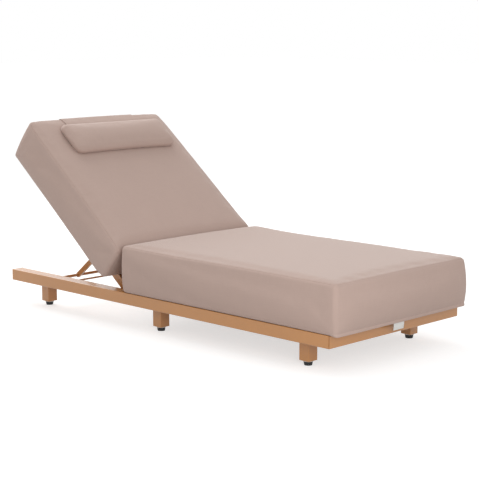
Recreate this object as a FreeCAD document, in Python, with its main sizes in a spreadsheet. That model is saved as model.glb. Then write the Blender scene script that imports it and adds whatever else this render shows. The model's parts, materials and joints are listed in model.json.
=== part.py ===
"""Sun lounger with a tilting back.

A low frame of coated tube stands on six legs. A slatted back turns on two pins, and a swinging
strut holds it up on notched racks. Thick loose cushions and a head pillow lie on top.

The origin is on the floor under the middle of the rails: +X towards the feet, +Z up.
"""
import FreeCAD
import Part
import math
import os
import Sketcher

Vector = FreeCAD.Vector

# Driving dimensions in millimetres, and one angle in degrees
SIZES = {
    # Rails
    "rail_length": 2000, "frame_width": 824, "rail_width": 60, "rail_height": 52, "rail_bottom": 108,
    "rail_wall": 2.5, "rail_rounding": 3, "cap_plate": 3, "cap_plug_depth": 18,
    # Ledges and cross beams
    "ledge_width": 56, "ledge_thickness": 4, "ledge_head_inset": 15,
    "beam_width": 50, "beam_wall": 2.5, "first_beam_from_hinge": 86, "last_beam_inset": 125,
    # Slats
    "slat_width": 60, "slat_thickness": 12, "seat_slat_from_hinge": 61, "seat_slat_foot_gap": 2,
    # Legs and glides
    "leg_side": 52, "leg_rounding": 3, "leg_gap_to_rail": 2, "glide_height": 16, "collar_height": 4,
    "glide_radius": 19, "glide_foot_radius": 16, "collar_radius": 21,
    "head_leg_inset": 171, "middle_leg_from_hinge": 236, "foot_leg_inset": 183,
    # Screws
    "screw_head_radius": 5, "screw_head_height": 3, "leg_screw_offset": 13, "leg_screw_inset": 22,
    # Back panel and its hinge
    "back_tilt": 38.7, "hinge_from_head": 724, "hinge_z": 135, "side_tube": 25, "side_tube_wall": 2,
    "side_tube_gap_to_rail": 34, "side_tube_end": 700, "back_slat_start": 20, "back_slat_end": 715,
    "low_tube_start": 40, "middle_tube_start": 235, "head_tube_start": 660,
    "hinge_pin_radius": 6, "pin_head_radius": 9, "pin_head_height": 4, "bush_wall": 2,
    "bush_flange_radius": 11, "running_clearance": 0.05, "soft_clearance": 0.3,
    "ear_gap": 6, "ear_thickness": 8, "ear_width": 40, "ear_top_above_pin": 18,
    "bracket_length": 60, "bracket_base": 5, "bracket_screw_offset": 20, "bush_side_play": 0.5,
    # Strut
    "strut_length": 311, "strut_bar_width": 24, "strut_bar_thickness": 10, "strut_gap_to_tube": 93,
    "pivot_rod_radius": 6, "pivot_rod_overhang": 3, "pivot_collar_radius": 10, "pivot_collar_length": 8,
    "pivot_collar_play": 0.5, "foot_rod_radius": 7, "foot_sleeve_radius": 8, "foot_sleeve_length": 16,
    "foot_rod_overhang": 2, "strut_pocket_play": 8, "strut_pocket_roof": 4,
    # Racks and tie rod
    "rack_thickness": 8, "rack_end_margin": 22, "rack_flange_thickness": 3,
    "rack_flange_width": 18, "rack_top_clearance": 0.5, "notch_radius": 8.5, "notch_depth": 5,
    "low_notch_tilt": 20, "second_notch_tilt": 30, "top_notch_tilt": 50,
    "tie_rod_radius": 4.5, "tie_rod_drop": 18,
    # Cushions
    "seat_cushion_from_hinge": 89, "seat_cushion_foot_overhang": 12, "cushion_side_overhang": 6,
    "seat_cushion_height": 195, "back_cushion_start": 66, "back_cushion_end": 922,
    "back_cushion_height": 192, "cushion_crown": 5, "cushion_length_crown": 4, "cushion_bulge": 7,
    "cushion_edge": 26, "cushion_base_edge": 12, "cushion_pull": 3,
    "back_cushion_low_lift": 24, "back_cushion_low_run": 84,
    # Pillow and flap
    "pillow_length": 555, "pillow_width": 172, "pillow_height": 38, "pillow_crown": 10,
    "pillow_bulge": 4, "pillow_edge": 13, "pillow_base_edge": 13, "pillow_pull": 3, "pillow_center": 758,
    "flap_thickness": 3, "flap_width": 440, "flap_start": 780, "flap_hang": 150, "flap_hem_radius": 5,
    # Cuts reach past the piece by this much
    "overrun": 5,
}
SEAT_SLATS = 9
BACK_SLATS = 8
BEAM_NAMES = ("head", "hip", "knee", "foot")
SIDES = {"right": -1, "left": 1}

# Rounded end of a cushion: distance from the end and inset, as shares of the edge rounding
END_SHARES = ((0.0, 0.6), (0.15, 0.3), (0.5, 0.1), (1.0, 0.0))
# Stations between the ends as shares of the length
MIDDLE_SHARES = (0.25, 0.5, 0.75)
# Stations along a base that rises, as shares of its run
RUN_SHARES = (1.0, 0.8, 0.6, 0.45)
# How far a section's corners tighten as it closes in at an end, as a share of its inset
END_CORNER_SHARE = 0.85
HALF_DIAGONAL = math.sqrt(0.5)
# Where the tie rod lies between the notch in use and the top notch
TIE_ROD_SHARE = 0.425

doc = FreeCAD.newDocument("sun_lounger")
sheet = doc.addObject("Spreadsheet::Sheet", "Sizes")
for row, (alias, number) in enumerate(SIZES.items(), start=1):
    sheet.set(f"A{row}", alias)
    sheet.set(f"B{row}", str(number))
    sheet.setAlias(f"B{row}", alias)
doc.recompute()


class Size:
    """A formula on the sheet's cells together with its value."""

    def __init__(self, text, value):
        self.text = text
        self.value = value

    def __add__(self, other):
        other = as_size(other)
        return Size(f"({self.text} + {other.text})", self.value + other.value)

    def __sub__(self, other):
        other = as_size(other)
        return Size(f"({self.text} - {other.text})", self.value - other.value)

    def __mul__(self, other):
        other = as_size(other)
        return Size(f"({self.text} * {other.text})", self.value * other.value)

    def __truediv__(self, other):
        other = as_size(other)
        return Size(f"({self.text} / {other.text})", self.value / other.value)

    def __neg__(self):
        return Size(f"(-1 * {self.text})", -self.value)


def as_size(number):
    """A plain number as a formula."""
    return number if isinstance(number, Size) else Size(f"({number!r})", number)


def cos_of(angle):
    """Cosine of an angle in degrees."""
    return Size(f"cos({angle.text})", math.cos(math.radians(angle.value)))


def sin_of(angle):
    """Sine of an angle in degrees."""
    return Size(f"sin({angle.text})", math.sin(math.radians(angle.value)))


d = {alias: Size(f"Sizes.{alias}", float(sheet.get(alias))) for alias in SIZES}
ZERO = as_size(0)

# Places that several pieces share
rail_top = d["rail_bottom"] + d["rail_height"]
half_width = d["frame_width"] / 2
inner_half = half_width - d["rail_width"]
half_length = d["rail_length"] / 2
foot_inner_x = half_length - d["rail_width"]
hinge_x = d["hinge_from_head"] - half_length
ledge_top = d["rail_bottom"] + d["ledge_thickness"]
beam_height = rail_top - d["slat_thickness"] - ledge_top
leg_bottom = d["glide_height"] + d["collar_height"]
leg_center_y = inner_half - d["leg_gap_to_rail"] - d["leg_side"] / 2
panel_top = rail_top - d["hinge_z"]
tube_top = panel_top - d["slat_thickness"]
tube_bottom = tube_top - d["side_tube"]
side_tube_outer_y = inner_half - d["side_tube_gap_to_rail"]
side_tube_inner_y = side_tube_outer_y - d["side_tube"]
ear_inner_y = side_tube_outer_y + d["ear_gap"]
strut_spread = side_tube_inner_y - d["strut_gap_to_tube"]
rack_center_y = inner_half - d["rack_flange_width"] - d["rack_thickness"] / 2
tie_rod_z = d["hinge_z"] - d["tie_rod_drop"]
leg_rows = {"head": d["head_leg_inset"] - half_length, "middle": hinge_x + d["middle_leg_from_hinge"],
            "foot": half_length - d["foot_leg_inset"]}
rack_crest = d["hinge_z"] - d["foot_sleeve_radius"] - d["rack_top_clearance"]
pivot_reach = d["strut_length"]


class Frame:
    """A frame turned about Y: its origin in the world, and its turn in degrees."""

    def __init__(self, x, z, turn):
        self.x, self.z, self.turn = x, z, turn

    def spot(self, x, y, z):
        """World place of a point given in this frame."""
        if self.turn is None:
            return x, y, z
        c, s = cos_of(self.turn), sin_of(self.turn)
        return self.x + x * c + z * s, y, self.z - x * s + z * c


WORLD = Frame(ZERO, ZERO, None)
# The back panel's frame: origin on the hinge, -X towards the head, +Z square to the panel
PANEL = Frame(hinge_x, d["hinge_z"], d["back_tilt"])
strut_x, _, strut_z = PANEL.spot(-pivot_reach, ZERO, ZERO)
# The strut's frame: origin on its pivot, -X towards its foot
STRUT = Frame(strut_x, strut_z, -d["back_tilt"])

pieces = []


def bind(item, **formulas):
    """Tie an object's properties to the sheet."""
    for name, formula in formulas.items():
        item.setExpression(name, as_size(formula).text)
    return item


def place(item, frame, x, y, z):
    """Put an object's origin at a point of a frame, turned with it."""
    if frame.turn is not None:
        item.Placement = FreeCAD.Placement(Vector(), FreeCAD.Rotation(Vector(0, 1, 0), 1))
        item.setExpression("Placement.Rotation.Angle", frame.turn.text)
    for axis, formula in zip("xyz", frame.spot(x, y, z)):
        item.setExpression(f"Placement.Base.{axis}", formula.text)
    return item


def keep(item, label):
    """Name a finished piece and list it for export."""
    item.Label = label
    pieces.append(item)
    return item


def box(frame, corner, size):
    """A box from its low corner and its three sizes."""
    item = doc.addObject("Part::Box", "box")
    bind(item, Length=size[0], Width=size[1], Height=size[2])
    return place(item, frame, *corner)


def lay_across(item, frame, x, y, z):
    """Turn an upright item to lie along Y, starting at y."""
    item.Placement = FreeCAD.Placement(Vector(), FreeCAD.Rotation(Vector(1, 0, 0), -90))
    for axis, formula in zip("xyz", frame.spot(x, y, z)):
        item.setExpression(f"Placement.Base.{axis}", formula.text)
    return item


def cross_rod(frame, x, y, z, radius, length):
    """A cylinder along Y, starting at y."""
    item = doc.addObject("Part::Cylinder", "cross_rod")
    bind(item, Radius=radius, Height=length)
    return lay_across(item, frame, x, y, z)


def cross_hex(frame, x, y, z, radius, length):
    """A hexagonal bar along Y, starting at y."""
    item = doc.addObject("Part::Prism", "cross_hex")
    item.Polygon = 6
    bind(item, Circumradius=radius, Height=length)
    return lay_across(item, frame, x, y, z)


def upright(x, y, z, radius, height):
    """A cylinder along Z, starting at z."""
    item = doc.addObject("Part::Cylinder", "upright")
    bind(item, Radius=radius, Height=height)
    return place(item, WORLD, x, y, z)


def hex_head(x, y, z):
    """A hexagonal screw head standing on a face at z."""
    item = doc.addObject("Part::Prism", "hex_head")
    item.Polygon = 6
    bind(item, Circumradius=d["screw_head_radius"], Height=d["screw_head_height"])
    return place(item, WORLD, x, y, z)


def fuse(*items):
    """Several shapes as one."""
    item = doc.addObject("Part::MultiFuse", "fuse")
    item.Shapes = list(items)
    return item


def cut(base, *tools):
    """A shape with others taken out of it."""
    item = doc.addObject("Part::Cut", "cut")
    item.Base = base
    item.Tool = tools[0] if len(tools) == 1 else fuse(*tools)
    return item


def group(items):
    """Like pieces that stay separate solids."""
    item = doc.addObject("Part::Compound", "group")
    item.Links = list(items)
    return item


def tube_along_x(frame, corner, size, wall):
    """A rectangular tube open at both X ends."""
    reach = d["overrun"]
    hollow_corner = (corner[0] - reach, corner[1] + wall, corner[2] + wall)
    hollow_size = (size[0] + reach * 2, size[1] - wall * 2, size[2] - wall * 2)
    return cut(box(frame, corner, size), box(frame, hollow_corner, hollow_size))


def tube_along_y(frame, corner, size, wall):
    """A rectangular tube open at both Y ends."""
    reach = d["overrun"]
    hollow_corner = (corner[0] + wall, corner[1] - reach, corner[2] + wall)
    hollow_size = (size[0] - wall * 2, size[1] + reach * 2, size[2] - wall * 2)
    return cut(box(frame, corner, size), box(frame, hollow_corner, hollow_size))


def new_sketch(body, role):
    """A sketch on one of the body's own origin planes."""
    sketch = body.newObject("Sketcher::SketchObject", "sketch")
    plane = [part for part in body.Origin.OriginFeatures if part.Role == role][0]
    sketch.AttachmentSupport = [(plane, "")]
    sketch.MapMode = "FlatFace"
    return sketch


def pin_point(sketch, geometry, point, spot):
    """Tie a sketch point to two formulas."""
    for kind, formula in zip(("DistanceX", "DistanceY"), spot):
        index = sketch.addConstraint(Sketcher.Constraint(kind, -1, 1, geometry, point, formula.value))
        sketch.setExpression(f"Constraints[{index}]", formula.text)


def draw_outline(sketch, corners):
    """A closed outline of straight lines through tied corners."""
    first = sketch.GeometryCount
    count = len(corners)
    spots = [Vector(x.value, y.value, 0) for x, y in corners]
    for i in range(count):
        sketch.addGeometry(Part.LineSegment(spots[i], spots[(i + 1) % count]))
    for i in range(count):
        sketch.addConstraint(Sketcher.Constraint("Coincident", first + i, 2, first + (i + 1) % count, 1))
    for i in range(count):
        pin_point(sketch, first + i, 1, corners[i])


def draw_circle(sketch, x, y, radius):
    """A circle with a tied centre and radius."""
    circle = Part.Circle(Vector(x.value, y.value, 0), Vector(0, 0, 1), radius.value)
    index = sketch.addGeometry(circle)
    pin_point(sketch, index, 3, (x, y))
    constraint = sketch.addConstraint(Sketcher.Constraint("Radius", index, radius.value))
    sketch.setExpression(f"Constraints[{constraint}]", radius.text)


def extrude(body, kind, sketch, length, symmetric=True):
    """A pad or pocket of a sketch, to both sides of its plane unless told otherwise."""
    feature = body.newObject(f"PartDesign::{kind}", kind.lower())
    feature.Profile = sketch
    feature.SideType = "Symmetric" if symmetric else "One side"
    bind(feature, Length=length)
    return feature


def rectangle(x0, y0, x1, y1):
    """The four corners of a rectangle."""
    return [(x0, y0), (x1, y0), (x1, y1), (x0, y1)]


def round_edges(body, feature, radius, wanted):
    """A fillet on the edges of a feature that pass a test on the edge."""
    doc.recompute()
    names = [f"Edge{i}" for i, edge in enumerate(feature.Shape.Edges, start=1) if wanted(edge)]
    fillet = body.newObject("PartDesign::Fillet", "fillet")
    fillet.Base = (feature, names)
    bind(fillet, Radius=radius)
    return fillet


def runs_along(edge, axis):
    """True for a straight edge along a main axis."""
    if len(edge.Vertexes) < 2:
        return False
    way = edge.Vertexes[1].Point - edge.Vertexes[0].Point
    return abs(way.normalize()[axis]) > 1 - Part.Precision.confusion()


def make_side_rail(name, side):
    """Hollow side rail, rounded along its outer edges and mitred at the foot end."""
    body = doc.addObject("PartDesign::Body", f"side_rail_{name}")
    wall = d["rail_wall"]
    outer_y, inner_y = half_width * side, inner_half * side
    profile = new_sketch(body, "YZ_Plane")
    draw_outline(profile, rectangle(outer_y, d["rail_bottom"], inner_y, rail_top))
    draw_outline(profile, rectangle(outer_y - wall * side, d["rail_bottom"] + wall,
                                    inner_y + wall * side, rail_top - wall))
    pad = extrude(body, "Pad", profile, d["rail_length"] - d["cap_plate"] * 2)
    skin_top, skin_bottom = rail_top.value, d["rail_bottom"].value

    def on_skin(edge):
        height = edge.CenterOfMass.z
        return runs_along(edge, 0) and min(abs(height - skin_top), abs(height - skin_bottom)) < wall.value / 2

    round_edges(body, pad, d["rail_rounding"], on_skin)
    mitre = new_sketch(body, "XY_Plane")
    reach = d["overrun"]
    draw_outline(mitre, [(half_length + reach, outer_y + reach * side),
                         (half_length + reach, inner_y - reach * side),
                         (foot_inner_x - reach, inner_y - reach * side)])
    extrude(body, "Pocket", mitre, rail_top * 3)
    keep(body, f"side_rail_{name}")
    return body


def make_foot_rail():
    """Hollow foot rail, mitred to the side rails at both ends."""
    body = doc.addObject("PartDesign::Body", "foot_rail")
    wall = d["rail_wall"]
    profile = new_sketch(body, "XZ_Plane")
    draw_outline(profile, rectangle(foot_inner_x, d["rail_bottom"], half_length, rail_top))
    draw_outline(profile, rectangle(foot_inner_x + wall, d["rail_bottom"] + wall,
                                    half_length - wall, rail_top - wall))
    pad = extrude(body, "Pad", profile, d["frame_width"])
    skin_top, skin_bottom = rail_top.value, d["rail_bottom"].value

    def on_skin(edge):
        height = edge.CenterOfMass.z
        return runs_along(edge, 1) and min(abs(height - skin_top), abs(height - skin_bottom)) < wall.value / 2

    round_edges(body, pad, d["rail_rounding"], on_skin)
    mitres = new_sketch(body, "XY_Plane")
    reach = d["overrun"]
    for side in SIDES.values():
        draw_outline(mitres, [(half_length + reach, (half_width + reach) * side),
                              (foot_inner_x - reach, (half_width + reach) * side),
                              (foot_inner_x - reach, (inner_half - reach) * side)])
    extrude(body, "Pocket", mitres, rail_top * 3)
    keep(body, "foot_rail")


def make_rail_caps():
    """End plugs of the side rails at the head."""
    caps = []
    wall = d["rail_wall"] + d["soft_clearance"]
    for side in SIDES.values():
        low_y = (half_width + inner_half) * (side / 2) - d["rail_width"] / 2
        plate = box(WORLD, (-half_length, low_y, d["rail_bottom"]),
                    (d["cap_plate"], d["rail_width"], d["rail_height"]))
        plug = box(WORLD, (-half_length, low_y + wall, d["rail_bottom"] + wall),
                   (d["cap_plug_depth"], d["rail_width"] - wall * 2, d["rail_height"] - wall * 2))
        caps.append(fuse(plate, plug))
    keep(group(caps), "rail_end_caps")


def make_ledge(name, side):
    """Flat bar along the foot of a side rail's inner face, which carries legs and beams."""
    low_y = inner_half * side - d["ledge_width"] * ((1 + side) / 2)
    start = d["ledge_head_inset"] - half_length
    keep(box(WORLD, (start, low_y, d["rail_bottom"]),
             (foot_inner_x - start, d["ledge_width"], d["ledge_thickness"])), f"ledge_{name}")


def make_beams():
    """Cross beams on the ledges under the seat slats."""
    first_x = hinge_x + d["first_beam_from_hinge"]
    pitch = (half_length - d["last_beam_inset"] - first_x) / (len(BEAM_NAMES) - 1)
    for i, name in enumerate(BEAM_NAMES):
        x = first_x + pitch * i - d["beam_width"] / 2
        beam = tube_along_y(WORLD, (x, -inner_half, ledge_top),
                            (d["beam_width"], inner_half * 2, beam_height), d["beam_wall"])
        keep(beam, f"cross_beam_{name}")


def make_slats(frame, label, count, start_x, end_x, top, outer_y, edge_gaps):
    """Lengthwise slats spread evenly between two sides."""
    gap = (outer_y * 2 - d["slat_width"] * count) / (count - 1 + 2 * edge_gaps)
    slats = []
    for i in range(count):
        y = gap * edge_gaps - outer_y + (d["slat_width"] + gap) * i
        slats.append(box(frame, (start_x, y, top - d["slat_thickness"]),
                         (end_x - start_x, d["slat_width"], d["slat_thickness"])))
    keep(group(slats), label)


def make_leg(name, x, side):
    """Square leg with rounded corners under the ledge."""
    body = doc.addObject("PartDesign::Body", f"leg_{name}")
    half = d["leg_side"] / 2
    profile = new_sketch(body, "XY_Plane")
    draw_outline(profile, rectangle(-half, -half, half, half))
    pad = extrude(body, "Pad", profile, d["rail_bottom"] - leg_bottom, symmetric=False)
    round_edges(body, pad, d["leg_rounding"], lambda edge: runs_along(edge, 2))
    place(body, WORLD, x, leg_center_y * side, leg_bottom)
    keep(body, f"leg_{name}")


def leg_spots():
    """Names and places of the six legs."""
    for row, x in leg_rows.items():
        for name, side in SIDES.items():
            yield f"{row}_{name}", x, side


def make_legs():
    """Six legs, each on a collar and a tapered glide, screwed to the ledge from above."""
    collars, glides, screws = [], [], []
    for name, x, side in leg_spots():
        make_leg(name, x, side)
        y = leg_center_y * side
        collars.append(upright(x, y, d["glide_height"], d["collar_radius"], d["collar_height"]))
        glide = doc.addObject("Part::Cone", "glide")
        bind(glide, Radius1=d["glide_foot_radius"], Radius2=d["glide_radius"], Height=d["glide_height"])
        glides.append(place(glide, WORLD, x, y, ZERO))
        screw_y = (inner_half - d["ledge_width"] + d["leg_screw_inset"]) * side
        for way in (-1, 1):
            screws.append(hex_head(x + d["leg_screw_offset"] * way, screw_y, ledge_top))
    keep(group(collars), "glide_collars")
    keep(group(glides), "glide_pads")
    keep(group(screws), "leg_screws")


def foot_rod_x(tilt):
    """Where the strut's foot rod stands when the back is at a tilt."""
    return hinge_x - d["strut_length"] * cos_of(tilt) * 2


def tie_rod_x():
    """Where the tie rod lies, between two notches of the racks."""
    used_x, top_x = foot_rod_x(d["back_tilt"]), foot_rod_x(d["top_notch_tilt"])
    return used_x + (top_x - used_x) * TIE_ROD_SHARE


def make_rack(name, side):
    """Angle bar on the ledge with notches for the strut's foot rod and a hole for the tie rod."""
    body = doc.addObject("PartDesign::Body", f"rack_{name}")
    tilts = (d["low_notch_tilt"], d["second_notch_tilt"], d["back_tilt"], d["top_notch_tilt"])
    low_x = foot_rod_x(tilts[0]) - d["rack_end_margin"]
    high_x = foot_rod_x(tilts[-1]) + d["rack_end_margin"]
    middle = (low_x + high_x) / 2
    half = d["rack_thickness"] / 2
    flange_y = (half + d["rack_flange_width"]) * side
    profile = new_sketch(body, "YZ_Plane")
    draw_outline(profile, [(half * -side, ledge_top), (flange_y, ledge_top),
                           (flange_y, ledge_top + d["rack_flange_thickness"]),
                           (half * side, ledge_top + d["rack_flange_thickness"]),
                           (half * side, rack_crest), (half * -side, rack_crest)])
    extrude(body, "Pad", profile, high_x - low_x)
    holes = new_sketch(body, "XZ_Plane")
    for tilt in tilts:
        draw_circle(holes, foot_rod_x(tilt) - middle,
                    rack_crest - d["notch_depth"] + d["notch_radius"], d["notch_radius"])
    draw_circle(holes, tie_rod_x() - middle, tie_rod_z, d["tie_rod_radius"])
    extrude(body, "Pocket", holes, d["rack_thickness"] * 2)
    place(body, WORLD, middle, rack_center_y * side, ZERO)
    keep(body, f"rack_{name}")


def make_tie_rod():
    """Rod that ties the two racks together."""
    reach = rack_center_y + d["rack_thickness"] / 2
    keep(cross_rod(WORLD, tie_rod_x(), -reach, tie_rod_z, d["tie_rod_radius"], reach * 2), "tie_rod")


def make_hinge_bracket(name, side):
    """Foot plate on the ledge with an upright ear that holds the hinge pin."""
    body = doc.addObject("PartDesign::Body", f"hinge_bracket_{name}")
    half = d["ear_thickness"] / 2
    base_z = ledge_top - d["hinge_z"]
    ear_half = d["ear_width"] / 2
    top = d["ear_top_above_pin"]
    plate = new_sketch(body, "XZ_Plane")
    draw_outline(plate, [(-ear_half, base_z), (ear_half, base_z), (ear_half, ZERO),
                         (ear_half / 2, top), (-ear_half / 2, top), (-ear_half, ZERO)])
    draw_circle(plate, ZERO, ZERO, d["hinge_pin_radius"])
    extrude(body, "Pad", plate, d["ear_thickness"])
    foot = new_sketch(body, "YZ_Plane")
    far_y = inner_half - ear_inner_y - half
    draw_outline(foot, rectangle(half * -side, base_z, far_y * side, base_z + d["bracket_base"]))
    extrude(body, "Pad", foot, d["bracket_length"])
    place(body, WORLD, hinge_x, (ear_inner_y + half) * side, d["hinge_z"])
    keep(body, f"hinge_bracket_{name}")


def make_hinge_pin(name, side):
    """Headed pin through the bracket's ear and the back's side tube."""
    outer = ear_inner_y + d["ear_thickness"]
    length = outer - side_tube_inner_y
    low = side_tube_inner_y if side > 0 else -outer
    head_low = outer if side > 0 else -outer - d["pin_head_height"]
    shank = cross_rod(WORLD, hinge_x, low, d["hinge_z"], d["hinge_pin_radius"], length)
    head = cross_rod(WORLD, hinge_x, head_low, d["hinge_z"], d["pin_head_radius"], d["pin_head_height"])
    keep(fuse(shank, head), f"hinge_pin_{name}")


def make_bracket_screws():
    """Screw heads on the foot plates and on the racks' flanges."""
    bracket_y = (ear_inner_y + d["ear_thickness"] + inner_half) / 2
    rack_y = rack_center_y + d["rack_thickness"] / 2 + d["rack_flange_width"] / 2
    rack_middle = (foot_rod_x(d["back_tilt"]) + foot_rod_x(d["top_notch_tilt"])) / 2
    bracket_heads, rack_heads = [], []
    for side in SIDES.values():
        for way in (-1, 1):
            bracket_heads.append(hex_head(hinge_x + d["bracket_screw_offset"] * way, bracket_y * side,
                                          ledge_top + d["bracket_base"]))
            rack_heads.append(hex_head(rack_middle + d["rack_end_margin"] * way, rack_y * side,
                                       ledge_top + d["rack_flange_thickness"]))
    keep(group(bracket_heads), "bracket_screws")
    keep(group(rack_heads), "rack_screws")


def make_side_tube(name, side):
    """Side tube of the back with bores for hinge bush and pivot rod and a pocket for the foot rod."""
    low_y = side_tube_inner_y if side > 0 else -side_tube_outer_y
    start = -d["side_tube_end"]
    end = d["side_tube"] / 2
    tube = tube_along_x(PANEL, (start, low_y, tube_bottom),
                        (end - start, d["side_tube"], d["side_tube"]), d["side_tube_wall"])
    reach = d["overrun"]
    bore_y = low_y - reach
    bore_length = d["side_tube"] + reach * 2
    bush_radius = d["hinge_pin_radius"] + d["running_clearance"] + d["bush_wall"]
    bush_bore = cross_rod(PANEL, ZERO, bore_y, ZERO, bush_radius, bore_length)
    pivot_bore = cross_rod(PANEL, -pivot_reach, bore_y, ZERO, d["pivot_rod_radius"], bore_length)
    pocket_half = d["foot_rod_radius"] + d["strut_pocket_play"]
    pocket = box(PANEL, (-pivot_reach * 2 - pocket_half, bore_y, tube_bottom - reach),
                 (pocket_half * 2, bore_length, d["side_tube"] + reach - d["strut_pocket_roof"]))
    keep(cut(tube, bush_bore, pivot_bore, pocket), f"back_side_tube_{name}")


def make_cross_tube(name):
    """Cross tube of the back between its side tubes."""
    start = -d[f"{name}_tube_start"] - d["side_tube"]
    tube = tube_along_y(PANEL, (start, -side_tube_inner_y, tube_bottom),
                        (d["side_tube"], side_tube_inner_y * 2, d["side_tube"]), d["side_tube_wall"])
    keep(tube, f"back_{name}_tube")


def make_hinge_bushes():
    """Flanged sleeves in the side tubes that run on the hinge pins."""
    bushes = []
    bore = d["hinge_pin_radius"] + d["running_clearance"]
    flange = d["ear_gap"] - d["bush_side_play"]
    reach = d["overrun"]
    for side in SIDES.values():
        low = side_tube_inner_y if side > 0 else -side_tube_outer_y
        flange_low = side_tube_outer_y if side > 0 else -side_tube_outer_y - flange
        sleeve = cross_rod(PANEL, ZERO, low, ZERO, bore + d["bush_wall"], d["side_tube"])
        collar = cross_rod(PANEL, ZERO, flange_low, ZERO, d["bush_flange_radius"], flange)
        hole_low = (side_tube_inner_y if side > 0 else -side_tube_outer_y - flange) - reach
        hole = cross_rod(PANEL, ZERO, hole_low, ZERO, bore, d["side_tube"] + flange + reach * 2)
        bushes.append(cut(fuse(sleeve, collar), hole))
    keep(group(bushes), "hinge_bushes")


def make_pivot_rod():
    """Rod through both side tubes that the strut swings on, with hexagonal collars beside its legs."""
    half = side_tube_outer_y + d["pivot_rod_overhang"]
    keep(cross_rod(PANEL, -pivot_reach, -half, ZERO, d["pivot_rod_radius"], half * 2), "strut_pivot_rod")
    collars = []
    clear = d["strut_bar_thickness"] / 2 + d["pivot_collar_play"]
    length = d["pivot_collar_length"]
    reach = d["overrun"]
    for side in SIDES.values():
        for low in (strut_spread * side + clear, strut_spread * side - clear - length):
            ring = cross_hex(PANEL, -pivot_reach, low, ZERO, d["pivot_collar_radius"], length)
            through = length + reach * 2
            bore = cross_rod(PANEL, -pivot_reach, low - reach, ZERO, d["pivot_rod_radius"], through)
            collars.append(cut(ring, bore))
    keep(group(collars), "pivot_collars")


def make_strut_leg(name, side):
    """Flat bar with a round eye at each end."""
    body = doc.addObject("PartDesign::Body", f"strut_leg_{name}")
    half = d["strut_bar_width"] / 2
    foot = -d["strut_length"]
    bar = new_sketch(body, "XZ_Plane")
    draw_outline(bar, rectangle(foot, -half, ZERO, half))
    extrude(body, "Pad", bar, d["strut_bar_thickness"])
    for x in (ZERO, foot):
        eye = new_sketch(body, "XZ_Plane")
        draw_circle(eye, x, ZERO, half)
        extrude(body, "Pad", eye, d["strut_bar_thickness"])
    bores = new_sketch(body, "XZ_Plane")
    draw_circle(bores, ZERO, ZERO, d["pivot_rod_radius"] + d["running_clearance"])
    draw_circle(bores, foot, ZERO, d["foot_rod_radius"])
    extrude(body, "Pocket", bores, d["strut_bar_thickness"] * 2)
    place(body, STRUT, ZERO, strut_spread * side, ZERO)
    keep(body, f"strut_leg_{name}")


def make_foot_rod():
    """Rod across the strut's feet with a smooth sleeve where it stands in each rack."""
    x = -d["strut_length"]
    length = d["foot_sleeve_length"]
    half = rack_center_y + length / 2 + d["foot_rod_overhang"]
    keep(cross_rod(STRUT, x, -half, ZERO, d["foot_rod_radius"], half * 2), "strut_foot_rod")
    sleeves = []
    reach = d["overrun"]
    for side in SIDES.values():
        low = rack_center_y * side - length / 2
        sleeve = cross_rod(STRUT, x, low, ZERO, d["foot_sleeve_radius"], length)
        bore = cross_rod(STRUT, x, low - reach, ZERO, d["foot_rod_radius"], length + reach * 2)
        sleeves.append(cut(sleeve, bore))
    keep(group(sleeves), "foot_sleeves")


def arc(a, b, c):
    """An edge through three points."""
    return Part.Arc(a, b, c).toShape()


def cushion_section(x, half, height, base_edge, edge, bulge, crown, inset, lift):
    """Cross-section of a cushion: flat base, bulged sides, rounded corners and a crowned top."""
    side = half - inset
    top = height - inset
    base_inset = inset * base_edge / edge
    base = max(base_inset, lift)
    foot = base_edge - base_inset * END_CORNER_SHARE
    shoulder = edge - inset * END_CORNER_SHARE
    waist = (base + top) / 2

    def at(y, z):
        return Vector(x, y, z)

    def half_outline(way):
        """Bottom corner, side and top corner on one side, from the base upwards."""
        foot_middle = at((side - foot + foot * HALF_DIAGONAL) * way, base + foot - foot * HALF_DIAGONAL)
        top_middle = at((side - shoulder + shoulder * HALF_DIAGONAL) * way,
                        top - shoulder + shoulder * HALF_DIAGONAL)
        return [(at((side - foot) * way, base), foot_middle, at(side * way, base + foot)),
                (at(side * way, base + foot), at((side + bulge) * way, waist), at(side * way, top - shoulder)),
                (at(side * way, top - shoulder), top_middle, at((side - shoulder) * way, top))]

    left, right = half_outline(-1), half_outline(1)
    base_line = Part.LineSegment(left[0][0], right[0][0]).toShape()
    top_arc = arc(right[2][2], at(0, top + crown), left[2][2])
    edges = [base_line] + [arc(*points) for points in right] + [top_arc]
    edges += [arc(*reversed(points)) for points in reversed(left)]
    return Part.Wire(edges)


def cushion_shape(length, half, height, base_edge, edge, bulge, crown, length_crown, pull,
                  end_lift=0.0, end_run=0.0):
    """A padded block from x = 0: crowned top, bulged and drawn-in sides, rounded ends.

    Its base can rise by end_lift along a quarter ellipse over the last end_run of its length.
    """
    stations = [(near * edge, inset * edge) for near, inset in END_SHARES]
    stations += [(share * length, 0.0) for share in MIDDLE_SHARES]
    if end_run:
        stations += [(length - share * end_run, 0.0) for share in RUN_SHARES]
    stations += [(length - near * edge, inset * edge) for near, inset in reversed(END_SHARES)]
    wires = []
    for x, inset in stations:
        swell = 1 - (2 * x / length - 1) ** 2
        reach = max(0.0, 1 - (length - x) / end_run) if end_run else 0.0
        lift = end_lift * (1 - math.sqrt(1 - reach ** 2))
        wires.append(cushion_section(x, half - pull * swell, height + length_crown * swell,
                                     base_edge, edge, bulge, crown, inset, lift))
    return Part.makeLoft(wires, True, True)


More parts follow.
